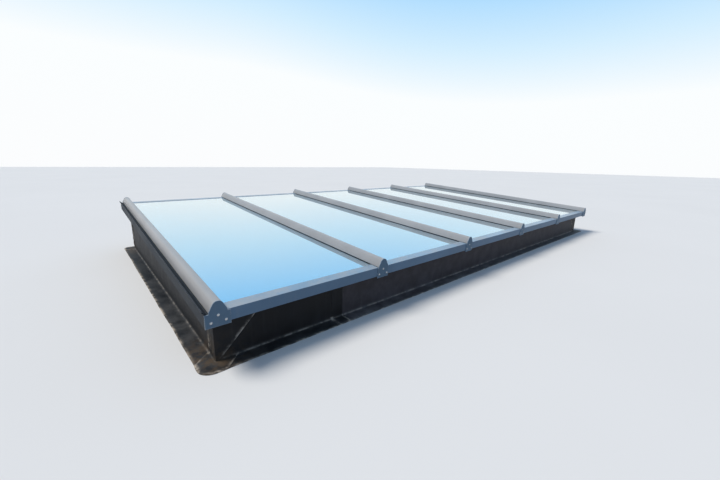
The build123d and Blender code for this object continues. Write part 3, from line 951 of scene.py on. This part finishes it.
# Screws of the end plates: hexagon heads with a flange, at the places that the CAD screws hold.
# A ring is its kind, its radius and its height over the plate. A hexagon's radius reaches its corners.
screw = {
    "shank": 0.0020,
    "tip": 0.0012,
    "tipLength": 0.003,
    "top": 0.0026,
    "headRings": [
        ("round", 0.0045, 0.0),
        ("round", 0.0045, 0.00036),
        ("round", 0.004185, 0.0006),
        ("hexagon", 0.0036, 0.00078),
        ("hexagon", 0.0036, 0.0021),
        ("round", 0.00288, 0.0025),
        ("round", 0.00162, 0.0026),
    ],
    "steps": 24,
    "smoothAngle": math.radians(32),
}


def looseParts(mesh):
    # The corners of each solid in a mesh, as one list for each
    parent = list(range(len(mesh.vertices)))

    def root(i):
        while parent[i] != i:
            parent[i] = parent[parent[i]]
            i = parent[i]
        return i

    places = {}
    for vertex in mesh.vertices:
        key = tuple(round(value, 6) for value in vertex.co)
        parent[root(vertex.index)] = root(places.setdefault(key, vertex.index))
    for edge in mesh.edges:
        parent[root(edge.vertices[0])] = root(edge.vertices[1])
    found = {}
    for vertex in mesh.vertices:
        found.setdefault(root(vertex.index), []).append(vertex.co.copy())
    return list(found.values())


def hexagonRadius(angle, radius):
    turn = (angle % (math.pi / 3)) - math.pi / 6
    return radius * math.cos(math.pi / 6) / math.cos(turn)


def addScrew(mesh, place, length):
    # Rings from the shank's tip up to the top of the head, drawn along +Z from the plate's face
    steps = screw["steps"]
    shankRings = [
        ("round", screw["tip"], -length),
        ("round", screw["shank"], screw["tipLength"] - length),
        ("round", screw["shank"], 0.0),
    ]
    made = []
    for kind, radius, height in shankRings + screw["headRings"]:
        ring = []
        for step in range(steps):
            angle = 2 * math.pi * step / steps
            reach = hexagonRadius(angle, radius) if kind == "hexagon" else radius
            corner = Vector((reach * math.cos(angle), reach * math.sin(angle), height))
            ring.append(mesh.verts.new(place @ corner))
        made.append(ring)
    for lower, upper in zip(made, made[1:]):
        for step in range(steps):
            after = (step + 1) % steps
            mesh.faces.new((lower[step], lower[after], upper[after], upper[step]))
    mesh.faces.new(made[-1])
    mesh.faces.new(list(reversed(made[0])))


def makeScrews(name):
    mesh = bmesh.new()
    lay = Matrix.Rotation(slopeAngle, 3, "X")
    for corners in looseParts(nodes[name].data):
        flat = [lay.inverted() @ corner for corner in corners]
        xs, ys, zs = ([point[i] for point in flat] for i in range(3))
        centreX, centreZ = (min(xs) + max(xs)) / 2, (min(zs) + max(zs)) / 2
        direction = -1 if sum(ys) < 0 else 1       # the front screws' heads face -Y
        headEnd = min(ys) if direction < 0 else max(ys)
        seat = headEnd - direction * screw["top"]
        turn = Matrix.Rotation(math.radians(-90 * direction), 3, "X")
        place = Matrix.Translation(lay @ Vector((centreX, seat, centreZ))) @ (lay @ turn).to_4x4()
        addScrew(mesh, place, max(ys) - min(ys) - screw["top"])
    bmesh.ops.recalc_face_normals(mesh, faces=mesh.faces[:])
    markSharp(mesh, screw["smoothAngle"])
    made = bpy.data.meshes.new("hexagon_head_screws")
    mesh.to_mesh(made)
    mesh.free()
    piece = bpy.data.objects.new("hexagon_head_screws", made)
    bpy.context.scene.collection.objects.link(piece)
    setFinish(piece, "stainless")
    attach(piece, "root")
    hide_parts(name)
    print("made screws", len(made.polygons), "faces")


makeScrews("end_plate_screws")


# Studio: pale floor, soft key from behind on the left, and a sky that only mirrors and the camera see
studio = {
    "floorSize": 60.0,
    "floorDrop": 0.0005,
    "floor": (0.72, 0.72, 0.71),
    "floorClouds": 0.03,
    "floorBounce": (0.20, 0.20, 0.21),
    "keyStrength": 3.0,
    "keyColour": (1.0, 0.94, 0.86),
    "keyAngle": 24.0,
    "keyFrom": (-0.45, 0.34, 0.83),
    "ambient": (0.24, 0.33, 0.47),
    "skyTurn": (0.30, 0.95, 0.0, 0.09),     # bluer towards +X, as a shift along the stops
    "skyStops": [
        (0.00, (0.97, 0.98, 0.99)),
        (0.24, (0.96, 0.99, 1.0)),
        (0.36, (0.66, 0.86, 1.0)),
        (0.50, (0.34, 0.67, 1.0)),
        (1.00, (0.29, 0.53, 0.88)),
    ],
}


def seenRays(tree):
    # 1 for the rays that show the backdrop, 0 for the ones that only carry light
    path = addNode(tree, "ShaderNodeLightPath")
    seen = mathNode(tree, "MAXIMUM", path.outputs["Is Camera Ray"], path.outputs["Is Glossy Ray"])
    return mathNode(tree, "MAXIMUM", seen, path.outputs["Is Transmission Ray"])


def makeFloor():
    half = studio["floorSize"] / 2
    corners = [(-half, -half, 0), (half, -half, 0), (half, half, 0), (-half, half, 0)]
    mesh = bpy.data.meshes.new("studio_floor")
    mesh.from_pydata(corners, [], [(0, 1, 2, 3)])
    floor = bpy.data.objects.new("studio_floor", mesh)
    floor.location.z = -studio["floorDrop"]
    bpy.context.scene.collection.objects.link(floor)
    material, tree, shader = startMaterial("studioFloor", {"Roughness": 0.9, "Specular IOR Level": 0.1})
    clouds = noiseNode(tree, 0.6, detail=3.0, rough=0.5)
    darker = tuple(value * (1 - studio["floorClouds"]) for value in studio["floor"])
    paler = tuple(value * (1 + studio["floorClouds"]) for value in studio["floor"])
    colour = mixColour(tree, clouds, darker, paler)
    colour = mixColour(tree, seenRays(tree), studio["floorBounce"], colour)
    tree.links.new(colour, shader.inputs["Base Color"])
    mesh.materials.append(material)


def makeKey():
    lamp = bpy.data.lights.new("key", "SUN")
    lamp.energy = studio["keyStrength"]
    lamp.color = studio["keyColour"]
    lamp.angle = math.radians(studio["keyAngle"])
    key = bpy.data.objects.new("key", lamp)
    key.visible_glossy = False              # its wide disc would stand in the glass
    key.visible_transmission = False
    key.rotation_mode = "QUATERNION"
    key.rotation_quaternion = Vector(studio["keyFrom"]).to_track_quat("Z", "Y")
    bpy.context.scene.collection.objects.link(key)


def makeWorld():
    world = bpy.data.worlds.new("studio")
    bpy.context.scene.world = world
    world.use_nodes = True
    tree = world.node_tree
    tree.nodes.clear()
    direction = addNode(tree, "ShaderNodeSeparateXYZ")
    tree.links.new(addNode(tree, "ShaderNodeTexCoord").outputs["Generated"], direction.inputs[0])
    ramp = addNode(tree, "ShaderNodeValToRGB")
    stops = ramp.color_ramp.elements
    lowest, *between, highest = studio["skyStops"]
    for stop, (position, colour) in zip(stops, (lowest, highest)):
        stop.position = position
        stop.color = (*colour, 1)
    for position, colour in between:
        stops.new(position).color = (*colour, 1)
    turn = remap(tree, direction.outputs["X"], *studio["skyTurn"])
    tree.links.new(mathNode(tree, "ADD", direction.outputs["Z"], turn), ramp.inputs[0])
    seen = addNode(tree, "ShaderNodeBackground", {"Strength": 1.0})
    tree.links.new(ramp.outputs["Color"], seen.inputs["Color"])
    lighting = addNode(tree, "ShaderNodeBackground", {"Color": (*studio["ambient"], 1), "Strength": 1.0})
    blend = addNode(tree, "ShaderNodeMixShader")
    tree.links.new(seenRays(tree), blend.inputs[0])
    tree.links.new(lighting.outputs[0], blend.inputs[1])
    tree.links.new(seen.outputs[0], blend.inputs[2])
    output = addNode(tree, "ShaderNodeOutputWorld")
    tree.links.new(blend.outputs[0], output.inputs["Surface"])


print("making the studio")
makeFloor()
makeKey()
makeWorld()
